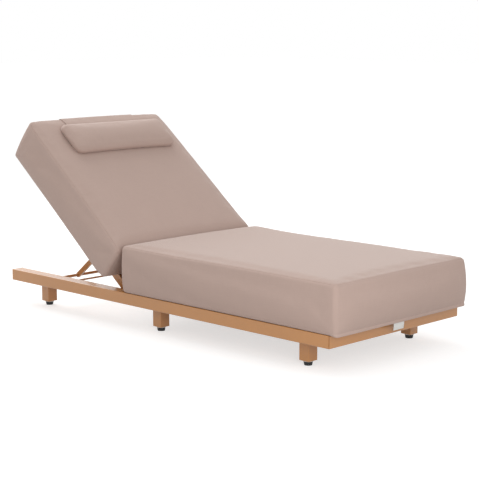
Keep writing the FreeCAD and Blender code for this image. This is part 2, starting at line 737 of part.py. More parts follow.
def soft_piece(label, shape, frame, x, y, z, turn=0):
    """A padded solid put at a point of a frame, its length turned about the frame's own Z."""
    item = doc.addObject("Part::Feature", label)
    item.Shape = shape
    spot = Vector(*(formula.value for formula in frame.spot(x, y, z)))
    tilt = FreeCAD.Rotation(Vector(0, 1, 0), frame.turn.value if frame.turn else 0)
    item.Placement = FreeCAD.Placement(spot, tilt * FreeCAD.Rotation(Vector(0, 0, 1), turn))
    return keep(item, label)


def make_cushions():
    """Seat and back cushions of one make."""
    shared = ("cushion_base_edge", "cushion_edge", "cushion_bulge", "cushion_crown",
              "cushion_length_crown", "cushion_pull")
    make = [d[name].value for name in shared]
    half = (half_width + d["cushion_side_overhang"]).value
    seat_head_x = hinge_x + d["seat_cushion_from_hinge"]
    seat_length = half_length + d["seat_cushion_foot_overhang"] - seat_head_x
    seat = cushion_shape(seat_length.value, half, d["seat_cushion_height"].value, *make)
    soft_piece("seat_cushion", seat, WORLD, seat_head_x, ZERO, rail_top)
    back_length = d["back_cushion_end"] - d["back_cushion_start"]
    back = cushion_shape(back_length.value, half, d["back_cushion_height"].value, *make,
                         end_lift=d["back_cushion_low_lift"].value, end_run=d["back_cushion_low_run"].value)
    soft_piece("back_cushion", back, PANEL, -d["back_cushion_end"], ZERO, panel_top + d["soft_clearance"])


def make_pillow():
    """Head pillow with a flap over the cushion's head end, weighted at its hem."""
    cushion_top = panel_top + d["soft_clearance"] + d["back_cushion_height"]
    flap_low = cushion_top + d["cushion_crown"] + d["cushion_length_crown"] / 2 + d["soft_clearance"]
    flap_high = flap_low + d["flap_thickness"]
    pillow = cushion_shape(d["pillow_length"].value, d["pillow_width"].value / 2, d["pillow_height"].value,
                           d["pillow_base_edge"].value, d["pillow_edge"].value, d["pillow_bulge"].value,
                           d["pillow_crown"].value, 0.0, d["pillow_pull"].value)
    soft_piece("head_pillow", pillow, PANEL, -d["pillow_center"], -d["pillow_length"] / 2, flap_high, turn=90)

    edge = d["cushion_edge"].value
    turn_x = edge - d["back_cushion_end"].value
    end_inset_share = END_SHARES[0][1]
    turn_z = cushion_top.value + d["cushion_crown"].value - edge * end_inset_share
    end_x = -d["back_cushion_end"].value - d["soft_clearance"].value
    hem_z = cushion_top.value - d["flap_hang"].value
    start_x = -d["flap_start"].value
    thick = d["flap_thickness"].value
    low, high = flap_low.value, flap_high.value

    def at(x, z):
        return Vector(x, 0, z)

    def bend(top, end):
        """Middle of the bend over the cushion's edge, for the flap's inner or outer face."""
        return at(turn_x - (turn_x - end) * HALF_DIAGONAL, turn_z + (top - turn_z) * HALF_DIAGONAL)

    outer_x = end_x - thick
    outline = [Part.LineSegment(at(start_x, low), at(turn_x, low)).toShape(),
               arc(at(turn_x, low), bend(low, end_x), at(end_x, turn_z)),
               Part.LineSegment(at(end_x, turn_z), at(end_x, hem_z)).toShape(),
               Part.LineSegment(at(end_x, hem_z), at(outer_x, hem_z)).toShape(),
               Part.LineSegment(at(outer_x, hem_z), at(outer_x, turn_z)).toShape(),
               arc(at(outer_x, turn_z), bend(high, outer_x), at(turn_x, high)),
               Part.LineSegment(at(turn_x, high), at(start_x, high)).toShape(),
               Part.LineSegment(at(start_x, high), at(start_x, low)).toShape()]
    sheet_face = Part.Face(Part.Wire(outline))
    flap = sheet_face.extrude(Vector(0, d["flap_width"].value, 0))
    soft_piece("pillow_flap", flap, PANEL, ZERO, -d["flap_width"] / 2, ZERO)
    hem_x = -d["back_cushion_end"] - d["soft_clearance"] - d["flap_hem_radius"]
    hem_center = cushion_top - d["flap_hang"] - d["flap_hem_radius"]
    keep(cross_rod(PANEL, hem_x, -d["flap_width"] / 2, hem_center, d["flap_hem_radius"], d["flap_width"]),
         "flap_weight")


def make_frame():
    """Rails, ledges, beams, slats and legs."""
    for name, side in SIDES.items():
        make_side_rail(name, side)
        make_ledge(name, side)
    make_foot_rail()
    make_rail_caps()
    make_beams()
    make_slats(WORLD, "seat_slats", SEAT_SLATS, hinge_x + d["seat_slat_from_hinge"],
               foot_inner_x - d["seat_slat_foot_gap"], rail_top, inner_half, 1)
    make_legs()


def make_back():
    """Hinges, back panel, strut and racks."""
    for name, side in SIDES.items():
        make_hinge_bracket(name, side)
        make_hinge_pin(name, side)
        make_rack(name, side)
        make_side_tube(name, side)
        make_strut_leg(name, side)
    make_tie_rod()
    make_bracket_screws()
    for name in ("low", "middle", "head"):
        make_cross_tube(name)
    make_slats(PANEL, "back_slats", BACK_SLATS, -d["back_slat_end"], -d["back_slat_start"],
               panel_top, side_tube_outer_y, 0)
    make_hinge_bushes()
    make_pivot_rod()
    make_foot_rod()


def check_document():
    """Stop if any object failed or any piece is empty or broken."""
    doc.recompute()
    for item in doc.Objects:
        if "Invalid" in item.State or "Error" in item.State:
            raise RuntimeError(f"{item.Label} failed: {item.State}")
    for item in pieces:
        if item.Shape.isNull() or not item.Shape.isValid() or not item.Shape.Solids:
            raise RuntimeError(f"{item.Label} has no sound solid")


def write_parts():
    """One STEP file per piece."""
    os.makedirs("parts", exist_ok=True)
    for item in pieces:
        item.Shape.exportStep(f"parts/{item.Label}.step")


make_frame()
make_back()
make_cushions()
make_pillow()
check_document()
write_parts()
print(len(pieces), "pieces", sum(len(item.Shape.Solids) for item in pieces), "solids")
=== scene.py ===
"""Covers, cushions, coatings and stage of a sun lounger, around its packed construction.

Lengths are metres in the construction's own frame: +X towards the feet, +Z up, the floor at zero.
"""
import itertools
import json
import math

import bpy
import numpy as np
from bpy.props import FloatProperty, FloatVectorProperty, PointerProperty
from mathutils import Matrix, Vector


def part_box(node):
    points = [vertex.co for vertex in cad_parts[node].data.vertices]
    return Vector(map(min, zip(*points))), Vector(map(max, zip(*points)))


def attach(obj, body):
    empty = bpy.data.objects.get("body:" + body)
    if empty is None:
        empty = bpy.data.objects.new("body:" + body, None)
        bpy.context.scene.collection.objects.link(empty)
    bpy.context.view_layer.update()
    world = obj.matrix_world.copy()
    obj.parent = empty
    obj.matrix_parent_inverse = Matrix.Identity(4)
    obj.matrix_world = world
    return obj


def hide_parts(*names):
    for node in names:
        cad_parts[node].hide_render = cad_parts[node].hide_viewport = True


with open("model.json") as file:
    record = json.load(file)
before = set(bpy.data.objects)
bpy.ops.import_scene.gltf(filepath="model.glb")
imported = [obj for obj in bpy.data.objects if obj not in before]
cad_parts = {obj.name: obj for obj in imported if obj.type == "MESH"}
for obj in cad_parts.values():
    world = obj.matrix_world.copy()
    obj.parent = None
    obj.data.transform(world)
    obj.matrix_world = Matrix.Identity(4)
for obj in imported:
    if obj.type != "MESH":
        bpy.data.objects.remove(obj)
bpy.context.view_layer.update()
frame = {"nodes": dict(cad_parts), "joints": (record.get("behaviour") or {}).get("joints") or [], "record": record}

bl_info = {
    "name": "Sun Lounger Dressing",
    "version": (1, 0, 0),
    "blender": (4, 5, 0),
    "location": "View3D > Sidebar > Lounger",
    "description": "Dresses a sun lounger's construction with covers, coatings and a stage",
    "category": "Object",
}

JOINTS = {joint["name"]: joint for joint in frame["joints"]}
SLOTS = {row["node"]: row["material_slot"] for row in frame["record"]["subparts"]}
WEAVE_MAP = "weave"
SEED = 7
# Least length that anything is divided by
TINY = 1e-9


def length_setting(name, description, default, **limits):
    """A length that a user may change."""
    return FloatProperty(name=name, description=description, unit="LENGTH", default=default, **limits)


def color_setting(name, description, default):
    """A colour that a user may change."""
    return FloatVectorProperty(name=name, description=description, subtype="COLOR", size=3, min=0, max=1,
                               default=default)


def place_setting(name, description, default):
    """A place that a user may change."""
    return FloatVectorProperty(name=name, description=description, subtype="TRANSLATION", size=3,
                               default=default)


class LoungerCover(bpy.types.PropertyGroup):
    """Cloth of the cushions and how it is filled and sewn."""

    color: color_setting("Cover colour", "Main colour of the cloth", (0.48, 0.353, 0.305))
    thread: length_setting(
        "Thread spacing", "Distance from one thread of the weave to the next", 0.0016, min=0.0004)
    edge: length_setting("Edge rounding", "Rounding of the cushions' top edges", 0.015)
    base_edge: length_setting("Base rounding", "Rounding of the cushions' lower edges", 0.017)
    hem: length_setting("Hem", "Height of the hem's stitching above the base", 0.013)
    crown: length_setting("Crown", "How far the top rises across the cushion", 0.005)
    length_crown: length_setting("Lengthwise crown", "How far the top rises along the cushion", 0.004)
    bulge: length_setting("Side bulge", "How far the sides stand out at half height", 0.009)
    pull: length_setting("Drawn-in sides", "How far the sides draw in between the corners", 0.003)
    seam_depth: length_setting("Seam depth", "Depth of the groove along each seam", 0.0013)
    seam_width: length_setting("Seam width", "Half width of the groove along each seam", 0.002)
    corner_tuck: length_setting("Corner tuck", "How far the free top corners draw in", 0.022)
    corner: length_setting("Corner rounding", "Rounding of the upright corners", 0.021)
    pucker: length_setting("Pucker", "Height of the small folds beside the seams", 0.0009)
    swell_limit: length_setting("Swell limit", "Furthest that a point moves as the filling swells", 0.006)
    cell: length_setting("Cloth cell", "Spacing of the cushion covers' grid", 0.015)


class LoungerPillow(bpy.types.PropertyGroup):
    """Head pillow and its weighted flap."""

    edge: length_setting("Edge rounding", "Rounding of the pillow's upper edges", 0.019)
    base_edge: length_setting("Base rounding", "Rounding of the pillow's lower edges", 0.014)
    crown: length_setting("Crown", "How far the pillow's face rises", 0.01)
    bulge: length_setting("Side bulge", "How far the pillow's sides stand out", 0.004)
    cell: length_setting("Cloth cell", "Spacing of the pillow cover's grid", 0.009)
    flap_thickness: length_setting("Flap thickness", "Thickness of the flap's doubled cloth", 0.0024)


class LoungerFinish(bpy.types.PropertyGroup):
    """Finishes of the frame and its fittings."""

    coating: color_setting("Frame coating", "Colour of the coated tube", (0.5, 0.225, 0.07))
    glide: color_setting("Glides", "Colour of the rubber glides", (0.005, 0.005, 0.0055))
    collar: color_setting("Collars", "Colour of the collars above the glides", (0.72, 0.70, 0.67))
    bush: color_setting("Bushes", "Colour of the nylon bushes and sleeves", (0.03, 0.03, 0.032))
    steel: color_setting("Steel", "Colour of screws and pins", (0.56, 0.55, 0.53))
    tag: color_setting("Tag", "Colour of the plain tag on the seat cushion", (0.74, 0.73, 0.70))


class LoungerStage(bpy.types.PropertyGroup):
    """Camera and light."""

    camera_place: place_setting("Camera", "Place of the camera", (4.2734, -4.2331, 1.3435))
    camera_turn: FloatVectorProperty(
        name="Camera turn", description="Turn of the camera", subtype="EULER", size=3,
        default=[math.radians(angle) for angle in (80.775, 0.0, 44.451)])
    lens: FloatProperty(
        name="Lens", description="Focal length in millimetres", subtype="DISTANCE_CAMERA", default=102.17)
    sky: FloatProperty(
        name="Sky", description="Strength of the even light all round", default=0.76)
    key: FloatProperty(
        name="Key", description="Power of the large soft lamp high beyond the head end",
        subtype="POWER", default=95)
    key_size: length_setting("Key size", "Width of the key lamp", 3.6)
    key_place: place_setting("Key place", "Place of the key lamp", (-3.0, 0.5, 2.7))
    fill: FloatProperty(
        name="Fill", description="Power of the soft lamp beyond the foot end", subtype="POWER", default=30)
    fill_size: length_setting("Fill size", "Width of the fill lamp", 1.6)
    fill_place: place_setting("Fill place", "Place of the fill lamp", (3.0, -1.9, 0.9))


class Value:
    """A shader socket that takes part in Python sums."""

    def __init__(self, paint, socket):
        self.paint = paint
        self.socket = socket

    def run(self, operation, *others):
        """A Math node on this value and others."""
        inputs = dict(enumerate((self,) + others))
        return self.paint.add("ShaderNodeMath", {"operation": operation}, inputs).value()

    def __add__(self, other):
        return self.run("ADD", other)

    __radd__ = __add__

    def __sub__(self, other):
        return self.run("SUBTRACT", other)

    def __rsub__(self, other):
        return (self * -1) + other

    def __mul__(self, other):
        return self.run("MULTIPLY", other)

    __rmul__ = __mul__

    def __truediv__(self, other):
        return self.run("DIVIDE", other)

    def sine(self):
        return self.run("SINE")

    def size(self):
        return self.run("ABSOLUTE")

    def whole(self):
        return self.run("FLOOR")

    def larger(self, other):
        return self.run("MAXIMUM", other)

    def between(self, least, most):
        """This value, from 0 to 1, carried over to a range."""
        return self * (most - least) + least


class Added:
    """A node that was just added, with its outputs as values."""

    def __init__(self, paint, node):
        self.paint = paint
        self.node = node

    def value(self, name=0):
        return Value(self.paint, self.node.outputs[name])


# Places of a Mix node's sockets for colours
MIX_FACTOR, MIX_FIRST, MIX_SECOND, MIX_RESULT = 0, 6, 7, 2


class Paint:
    """The node tree of a material or of the world."""

    def __init__(self, owner):
        self.owner = owner
        owner.use_nodes = True
        self.tree = owner.node_tree
        self.tree.nodes.clear()

    def add(self, kind, settings=None, inputs=None):
        """Add a node of a kind: its settings first, then the numbers or links of its sockets."""
        node = self.tree.nodes.new(kind)
        for name, setting in (settings or {}).items():
            setattr(node, name, setting)
        for name, given in (inputs or {}).items():
            if isinstance(given, Value):
                self.tree.links.new(given.socket, node.inputs[name])
            else:
                node.inputs[name].default_value = given
        return Added(self, node)

    def noise(self, vector, scale, detail=2.0, roughness=0.5):
        """Soft noise from 0 to 1 on a vector."""
        inputs = {"Vector": vector, "Scale": scale, "Detail": detail, "Roughness": roughness}
        return self.add("ShaderNodeTexNoise", None, inputs).value()

    def shades(self, factor, color, dark, light):
        """A colour between its darker and its lighter shade, by a factor."""
        shade = [(*(min(1.0, part * share) for part in color), 1.0) for share in (dark, light)]
        inputs = {MIX_FACTOR: factor, MIX_FIRST: shade[0], MIX_SECOND: shade[1]}
        return self.add("ShaderNodeMix", {"data_type": "RGBA"}, inputs).value(MIX_RESULT)

    def places(self):
        """Object coordinates."""
        return self.add("ShaderNodeTexCoord").value("Object")

    def stretched(self, vector, scale):
        """A vector scaled by three factors."""
        return self.add("ShaderNodeMapping", None, {"Vector": vector, "Scale": scale}).value()

    def bump(self, height, strength, distance):
        """A normal from a height."""
        inputs = {"Height": height, "Strength": strength, "Distance": distance}
        return self.add("ShaderNodeBump", None, inputs).value()

    def shown_apart(self, kind, lit, shown):
        """Mix two shaders into an output: one that lights the object, and one that shows as background.

        The second is there for the camera, reflections and glass.
        """
        rays = self.add("ShaderNodeLightPath")
        mirrored = rays.value("Is Glossy Ray").larger(rays.value("Is Transmission Ray"))
        inputs = {"Fac": rays.value("Is Camera Ray").larger(mirrored), 1: lit, 2: shown}
        mixed = self.add("ShaderNodeMixShader", None, inputs).value()
        self.add(kind, None, {"Surface": mixed})

    def finish(self, **inputs):
        """The surface shader, with its sockets by name, and the material's output."""
        named = {name.replace("_", " ").title().replace("Ior", "IOR"): given
                 for name, given in inputs.items()}
        shader = self.add("ShaderNodeBsdfPrincipled", None, named)
        self.add("ShaderNodeOutputMaterial", None, {"Surface": shader.value()})
        return self.owner


def new_paint(name):
    """The node tree of a new material."""
    return Paint(bpy.data.materials.new(name))


# A thread's mean height, how far it rises and falls, and the yarn's changes per metre across and along it
THREAD_LEVEL, THREAD_RISE = 0.6, 0.4
YARN_ACROSS, YARN_ALONG = 420.0, 14.0
# Parts of the threads, the yarn and the mottle in the cloth's tone, and of the yarn in its height
THREAD_TONE, YARN_TONE, MOTTLE_TONE, YARN_HEIGHT = 0.16, 0.36, 0.34, 0.35
# Parts of the clouding and the specks in the coating's tone
CLOUD_TONE, SPECK_TONE = 0.7, 0.5
# How much tones are lowered, to centre them between their two shades
TONE_DROP = 0.1
# Changes of the turning marks per metre, along each axis
MARK_STRETCH = (220.0, 40.0, 2400.0)


def cover_cloth(name, color, thread, sheen=0.42):
    """Plain-woven outdoor cloth.

    Warp and weft threads pass over and under each other, with uneven yarn along both and a soft
    mottle over the whole panel. The weave follows the panels' own map, in metres.
    """
    paint = new_paint(name)
    cloth = paint.add("ShaderNodeUVMap", {"uv_map": WEAVE_MAP}).value()
    split = paint.add("ShaderNodeSeparateXYZ", None, {0: cloth})
    warp, weft = split.value("X") / thread, split.value("Y") / thread
    over = (warp.whole() * math.pi + weft * math.pi).sine()
    under = (weft.whole() * math.pi + warp * math.pi).sine()
    warp_height = (warp * math.pi).sine().size() * (over * THREAD_RISE + THREAD_LEVEL)
    weft_height = (weft * math.pi).sine().size() * (under * -THREAD_RISE + THREAD_LEVEL)
    threads = warp_height.larger(weft_height)
    yarn = (paint.noise(paint.stretched(cloth, (YARN_ACROSS, YARN_ALONG, 1.0)), scale=1.0)
            + paint.noise(paint.stretched(cloth, (YARN_ALONG, YARN_ACROSS, 1.0)), scale=1.0))
    mottle = paint.noise(paint.places(), scale=9.0, detail=3.0, roughness=0.6)
    tone = threads * THREAD_TONE + yarn * YARN_TONE + mottle * MOTTLE_TONE - TONE_DROP
    return paint.finish(
        base_color=paint.shades(tone, color, dark=0.9, light=1.1),
        roughness=mottle.between(0.8, 0.9),
        normal=paint.bump(threads + yarn * YARN_HEIGHT, strength=0.35, distance=0.0004),
        sheen_weight=sheen, sheen_roughness=0.35, sheen_tint=(1.0, 0.97, 0.94, 1.0),
        specular_ior_level=0.3)


def frame_coating(color):
    """Satin coating on tube: faint clouding, fine orange peel and a clear top layer."""
    paint = new_paint("frame_coating")
    places = paint.places()
    cloud = paint.noise(places, scale=5.0, detail=4.0, roughness=0.6)
    peel = paint.noise(places, scale=620.0)
    speck = paint.noise(places, scale=160.0, detail=3.0, roughness=0.7)
    tone = cloud * CLOUD_TONE + speck * SPECK_TONE - TONE_DROP
    return paint.finish(
        base_color=paint.shades(tone, color, dark=0.9, light=1.09),
        roughness=speck.between(0.3, 0.46),
        normal=paint.bump(peel, strength=0.12, distance=0.0004),
        coat_weight=0.65, coat_roughness=0.14, coat_ior=1.5, specular_ior_level=0.35)


def moulded(name, color, roughness, grain):
    """Moulded plastic or rubber with a fine grain, from a least roughness up."""
    paint = new_paint(name)
    places = paint.places()
    fine = paint.noise(places, scale=grain, detail=3.0, roughness=0.6)
    cloud = paint.noise(places, scale=60.0)
    return paint.finish(
        base_color=paint.shades(cloud, color, dark=0.8, light=1.2),
        roughness=fine.between(roughness, roughness + 0.18),
        normal=paint.bump(fine, strength=0.25, distance=0.0003))


def turned_steel(color):
    """Steel of screws and pins with fine turning marks."""
    paint = new_paint("screw_steel")
    places = paint.places()
    marks = paint.noise(paint.stretched(places, MARK_STRETCH), scale=1.0, roughness=0.6)
    stain = paint.noise(places, scale=90.0, detail=3.0, roughness=0.6)
    return paint.finish(
        base_color=paint.shades(stain, color, dark=0.85, light=1.1),
        roughness=marks.between(0.24, 0.46),
        normal=paint.bump(marks, strength=0.15, distance=0.0002),
        metallic=1.0)


class Place:
    """Axes that a soft piece is worked out in: along, across and up from an origin."""

    def __init__(self, origin, along, across, up):
        self.origin = np.array(origin, float)
        self.axes = np.array([along, across, up], float)

    def world(self, points):
        return self.origin + points @ self.axes

    def local(self, points):
        return (points - self.origin) @ self.axes.T

    def extent(self, node):
        """Lowest and highest corner of a construction piece in these axes."""
        mesh = frame["nodes"][node].data
        flat = np.empty(len(mesh.vertices) * 3)
        mesh.vertices.foreach_get("co", flat)
        points = self.local(flat.reshape(-1, 3))
        return points.min(0), points.max(0)


SLOPE = np.array(JOINTS["cushion_slide"]["axis"], float)
HINGE = np.array(JOINTS["back_tilt"]["pos_m"], float)
RAISED = np.array((SLOPE[2], 0.0, -SLOPE[0]))
CROSSWISE = np.array((0.0, 1.0, 0.0))
SEAT_AXES = Place((0, 0, 0), (1, 0, 0), CROSSWISE, (0, 0, 1))
BACK_AXES = Place(HINGE, -SLOPE, CROSSWISE, RAISED)
PILLOW_AXES = Place(HINGE, CROSSWISE, SLOPE, RAISED)


def smooth(share):
    """Ease from 0 to 1 with level ends."""
    share = np.clip(share, 0.0, 1.0)
    return share * share * (3 - 2 * share)


def cells(ids):
    """Quads between the rows and columns of a grid of point numbers."""
    return np.stack([ids[:-1, :-1], ids[1:, :-1], ids[1:, 1:], ids[:-1, 1:]], -1).reshape(-1, 4)


def shell(counts):
    """Grid over the six faces of a block.

    Returns the grid points as whole steps along each axis, the quads with their outsides outwards,
    and for each quad the axis that its face stands across.
    """
    grids, quads, fronts, start = [], [], [], 0
    for axis in range(3):
        first, second = [other for other in range(3) if other != axis]
        for step in (0, counts[axis]):
            u, v = np.meshgrid(np.arange(counts[first] + 1), np.arange(counts[second] + 1), indexing="ij")
            points = np.full(u.shape + (3,), step)
            points[..., first], points[..., second] = u, v
            face = cells(np.arange(u.size).reshape(u.shape) + start)
            start += u.size
            turned = (step == 0) != (axis == 1)
            quads.append(face[:, ::-1] if turned else face)
            fronts.append(np.full(len(face), axis))
            grids.append(points.reshape(-1, 3))
    steps, places = np.unique(np.concatenate(grids), axis=0, return_inverse=True)
    return steps, places.reshape(-1)[np.concatenate(quads)], np.concatenate(fronts)


# Grid lines beside an edge, as shares of its rounding, and beside a hem's stitching, in stitch widths
EDGE_LINES = np.array((0.0, 0.06, 0.16, 0.34, 0.58, 0.78))
HEM_LINES = np.array((-1.5, -0.5, 0.5, 1.5))
STITCH_WIDTH = 0.0015


def stops(length, cell, edge, hem=0.0):
    """Shares of a length: close together at both ends for seam and rounding, then even steps.

    A hem gets four closer steps about its stitching, in place of those beside it.
    """
    near = EDGE_LINES * edge
    count = max(2, round((length - 2 * edge) / cell))
    places = np.concatenate([near, np.linspace(edge, length - edge, count + 1), length - near[::-1]])
    if hem:
        stitch = hem + HEM_LINES * STITCH_WIDTH
        apart = np.abs(places[:, None] - stitch).min(1)
        places = np.sort(np.concatenate([places[apart > STITCH_WIDTH], stitch]))
    return places / length


# Powers that keep bulges, tucks and leans close to a cover's sides, ends and corners
SIDE_POWER, END_POWER, TUCK_POWER, LEAN_POWER, LEAN_ACROSS_POWER = 5, 12, 9, 6, 4
# Added under the square root that an end's bulge follows across, so that some is left at its corners
END_FULLNESS = 0.3
# How far a tucked corner draws in along the block, as a share of its way across
TUCK_ALONG = 0.4
# Share of an end's lean that is left at the middle of its width
LEAN_AT_MIDDLE = 0.25
# Shares of the height and the length, at the base and at an end, that stay put as the filling swells
BASE_HELD, END_HELD = 0.02, 0.01


class Padding:
    """Sizes of one padded block and how its cover is shaped.

    The block goes from its low corner over its span, along, across and up. Its first end is the one at
    the low corner, and pairs of sizes are for the first and the second end. Forms of size zero are left
    out. The held end, first 0 or second 1, meets a neighbour.
    """

    def __init__(self, low, high, edge, base_edge, crown, length_crown, bulge, pull):
        self.low = low + np.array((0.0, bulge, 0.0))
        self.span = high - low - np.array((0.0, 2 * bulge, crown + length_crown))
        self.edge, self.base_edge, self.corner = edge, base_edge, edge
        self.crown, self.length_crown = crown, length_crown
        self.bulge, self.pull, self.taper = bulge, pull, 0.0
        self.end_bulges = self.end_tucks = self.end_leans = (0.0, 0.0)
        self.base_lift = self.base_run = 0.0
        self.brow_drop = self.brow_run = 0.0
        self.top_rise = self.rise_run = 0.0
        self.hem = 0.0
        self.lip_drop = self.lip_run = self.lip_flare = 0.0
        self.lip_edge = base_edge
        self.held_end = None

    def grow(self, shift, growth):
        """Move the low corner and lengthen the block, each along, across and up."""
        self.low += shift
        self.span += growth

    def end_curve(self, places, run):
        """Quarter ellipse over a run along the block, from 0 to 1 at its second end."""
        reach = np.clip(1 - (self.span[0] - places) / run, 0, 1)
        return 1 - np.sqrt(1 - reach ** 2)

    def surface(self, shares):
        """Cover points and outward directions at shares of the block.

        A box point has a depth inside the block's outline and one below its top or above its base. The
        two are pulled onto the edge rounding: the nearest point of an inner corner, plus the radius along
        the way out. Seen from above, each corner square is then drawn onto quarter circles about its inner
        corner, whose radius is the corner rounding, never less than the edges', minus the inset. The top
        rises by parabolas across and along, the sides and ends stand out by a parabola over the height,
        the sides draw in by one over the length and evenly towards the first end, the top corners draw in
        by high powers of the two shares, and an end leans in towards its base, most at its corners.
        Quarter ellipses along the block round the base and the brow of its second end, and eased steps
        raise the top of its first end and drop and flare the lip of its second.
        """
        flat = shares * self.span
        base_edge = np.full(len(flat), self.base_edge)
        if self.lip_run:
            beyond = smooth((flat[:, 0] - self.span[0]) / self.lip_run + 1)
            base_edge += (self.lip_edge - base_edge) * beyond
        radius = base_edge + (self.edge - base_edge) * smooth(shares[:, 2])
        sides = np.minimum(flat, self.span - flat)
        depths = np.stack([sides[:, :2].min(1), sides[:, 2]], axis=1)
        inner = np.maximum(depths, radius[:, None])
        way = (inner - depths) / np.linalg.norm(inner - depths, axis=1, keepdims=True)
        inset, rise = (inner - way * radius[:, None]).T
        core = np.clip(flat[:, :2], self.corner, self.span[:2] - self.corner)
        out = flat[:, :2] - core
        out /= np.maximum(np.hypot(*out.T), TINY)[:, None]
        lower = shares[:, 2] < 0.5
        point = np.column_stack([core + out * (self.corner - inset)[:, None],
                                 np.where(lower, rise, self.span[2] - rise)])
        way = np.column_stack([out * way[:, :1], np.where(lower, -way[:, 1], way[:, 1])])
        along, across, up = (2 * point / self.span - 1).T
        height = smooth(point[:, 2] / self.span[2])
        belly, swell_along, swell_across = (np.clip(1 - part ** 2, 0, 1) for part in (up, along, across))
        second = (along > 0).astype(int)
        pairs = (self.end_bulges, self.end_tucks, self.end_leans)
        bulge, tuck, lean = (np.array(pair)[second] for pair in pairs)
        tuck = tuck * np.abs(along * across) ** TUCK_POWER * height
        width_share = LEAN_AT_MIDDLE + (1 - LEAN_AT_MIDDLE) * across ** LEAN_ACROSS_POWER
        lean = lean * width_share * along ** LEAN_POWER * (1 - height)
        ends = bulge * np.abs(along) ** END_POWER * belly * np.sqrt(swell_across + END_FULLNESS) - lean
        moved = np.stack([
            (ends - TUCK_ALONG * tuck) * np.sign(along),
            self.bulge * across * np.abs(across) ** SIDE_POWER * belly - self.pull * across * swell_along
            - self.taper * across * (1 - along) / 2 - tuck * np.sign(across),
            height * (self.crown * swell_across + self.length_crown * swell_along)], axis=1)
        if self.base_run:
            moved[:, 2] += self.base_lift * self.end_curve(point[:, 0], self.base_run) * (1 - height)
        if self.brow_run:
            moved[:, 2] -= self.brow_drop * self.end_curve(point[:, 0], self.brow_run) * height
        if self.rise_run:
            moved[:, 2] += self.top_rise * smooth(1 - point[:, 0] / self.rise_run) * height
        if self.lip_run:
            over = smooth((point[:, 0] + moved[:, 0] - self.span[0] + self.lip_run) / self.lip_run)
            moved[:, 2] -= self.lip_drop * over * np.clip(1 - 2 * height, 0, 1)
            moved[:, 0] += self.lip_flare * over * np.clip(1 - flat[:, 2] / self.hem, 0, 1)
        return point + moved, way

    def seam_distances(self, shares):
        """Distances over the cover from the nearest rim of the top or base, and from the nearest corner."""
        flat = shares * self.span
        along, across, up = np.minimum(flat, self.span - flat).T
        return np.hypot(up, np.minimum(along, across)), np.hypot(along, across)

    def held(self, shares):
        """Which points stay put as the filling swells: those at the base and at the held end."""
        base = shares[:, 2] < BASE_HELD
        return base if self.held_end is None else base | (np.abs(shares[:, 0] - self.held_end) < END_HELD)


def ripples(points, lengths):
    """Uneven waves between -1 and 1: sines of several lengths and seeded directions, averaged."""
    draw = np.random.default_rng(SEED)
    total = np.zeros(len(points))
    for length in lengths:
        way = draw.normal(size=3)
        way /= np.linalg.norm(way)
        total += np.sin(points @ way * (2 * math.pi / length) + draw.uniform(0, 2 * math.pi))
    return total / len(lengths)


def new_object(name, points, quads):
    """A mesh object at the origin with its place in its points."""
    mesh = bpy.data.meshes.new(name)
    mesh.from_pydata(points.tolist(), [], quads.tolist())
    mesh.polygons.foreach_set("use_smooth", np.ones(len(quads), bool))
    item = bpy.data.objects.new(name, mesh)
    bpy.context.scene.collection.objects.link(item)
    return item


def add_group(item, name, chosen):
    """A vertex group of the chosen points, at full weight."""
    item.vertex_groups.new(name=name).add(np.flatnonzero(chosen).tolist(), 1.0, "REPLACE")


def soften(item):
    """One subdivision, the same in view and render."""
    smoothing = item.modifiers.new("soften", "SUBSURF")
    smoothing.levels = smoothing.render_levels = 1


# Swelling: least cells along a side, unevenness at the start, and the cloth's steps and settings
LEAST_CELLS, START_NOISE = 4, 0.0004
CLOTH_STEPS, CLOTH_QUALITY, CLOTH_PRESSURE = 20, 5, 0.5
CLOTH_STIFFNESS, CLOTH_BENDING, SEAM_SHRINK = 40.0, 0.4, 0.006


def swollen(padding, cell, limit):
    """How the filling swells a cover: movements on an even grid, from a pressed cloth.

    The cloth is blown up from the plain block with its held points fixed. Movements are eased towards
    a limit by a hyperbolic tangent, so the cover stays as firm as foam keeps it.
    """
    counts = np.maximum(LEAST_CELLS, np.round(padding.span / cell)).astype(int)
    steps, quads, _ = shell(counts)
    shares = steps / counts
    points, way = padding.surface(shares)
    draw = np.random.default_rng(SEED)
    points = points + way * draw.normal(0.0, START_NOISE, (len(points), 1))
    cover = new_object("swelling_cover", points, quads)
    add_group(cover, "held", padding.held(shares))
    add_group(cover, "sewn", padding.seam_distances(shares)[0] < cell / 2)
    cloth = cover.modifiers.new("cloth", "CLOTH")
    settings = cloth.settings
    settings.quality = CLOTH_QUALITY
    settings.use_pressure = True
    settings.uniform_pressure_force = CLOTH_PRESSURE
    settings.effector_weights.gravity = 0.0
    settings.tension_stiffness = settings.compression_stiffness = CLOTH_STIFFNESS
    settings.bending_stiffness = CLOTH_BENDING
    settings.vertex_group_mass = "held"
    settings.vertex_group_shrink = "sewn"
    settings.shrink_min, settings.shrink_max = 0.0, SEAM_SHRINK
    cloth.point_cache.frame_start, cloth.point_cache.frame_end = 1, CLOTH_STEPS
    scene = bpy.context.scene
    for step in range(1, CLOTH_STEPS + 1):
        scene.frame_set(step)
    result = cover.evaluated_get(bpy.context.evaluated_depsgraph_get()).data
    moved = np.empty(len(points) * 3)
    result.vertices.foreach_get("co", moved)
    moved = moved.reshape(-1, 3) - points
    scene.frame_set(1)
    bpy.data.objects.remove(cover)
    far = np.linalg.norm(moved, axis=1, keepdims=True)
    moved *= limit * np.tanh(far / limit) / np.maximum(far, TINY)
    field = np.zeros(tuple(counts + 1) + (3,))
    field[tuple(steps.T)] = moved
    return field


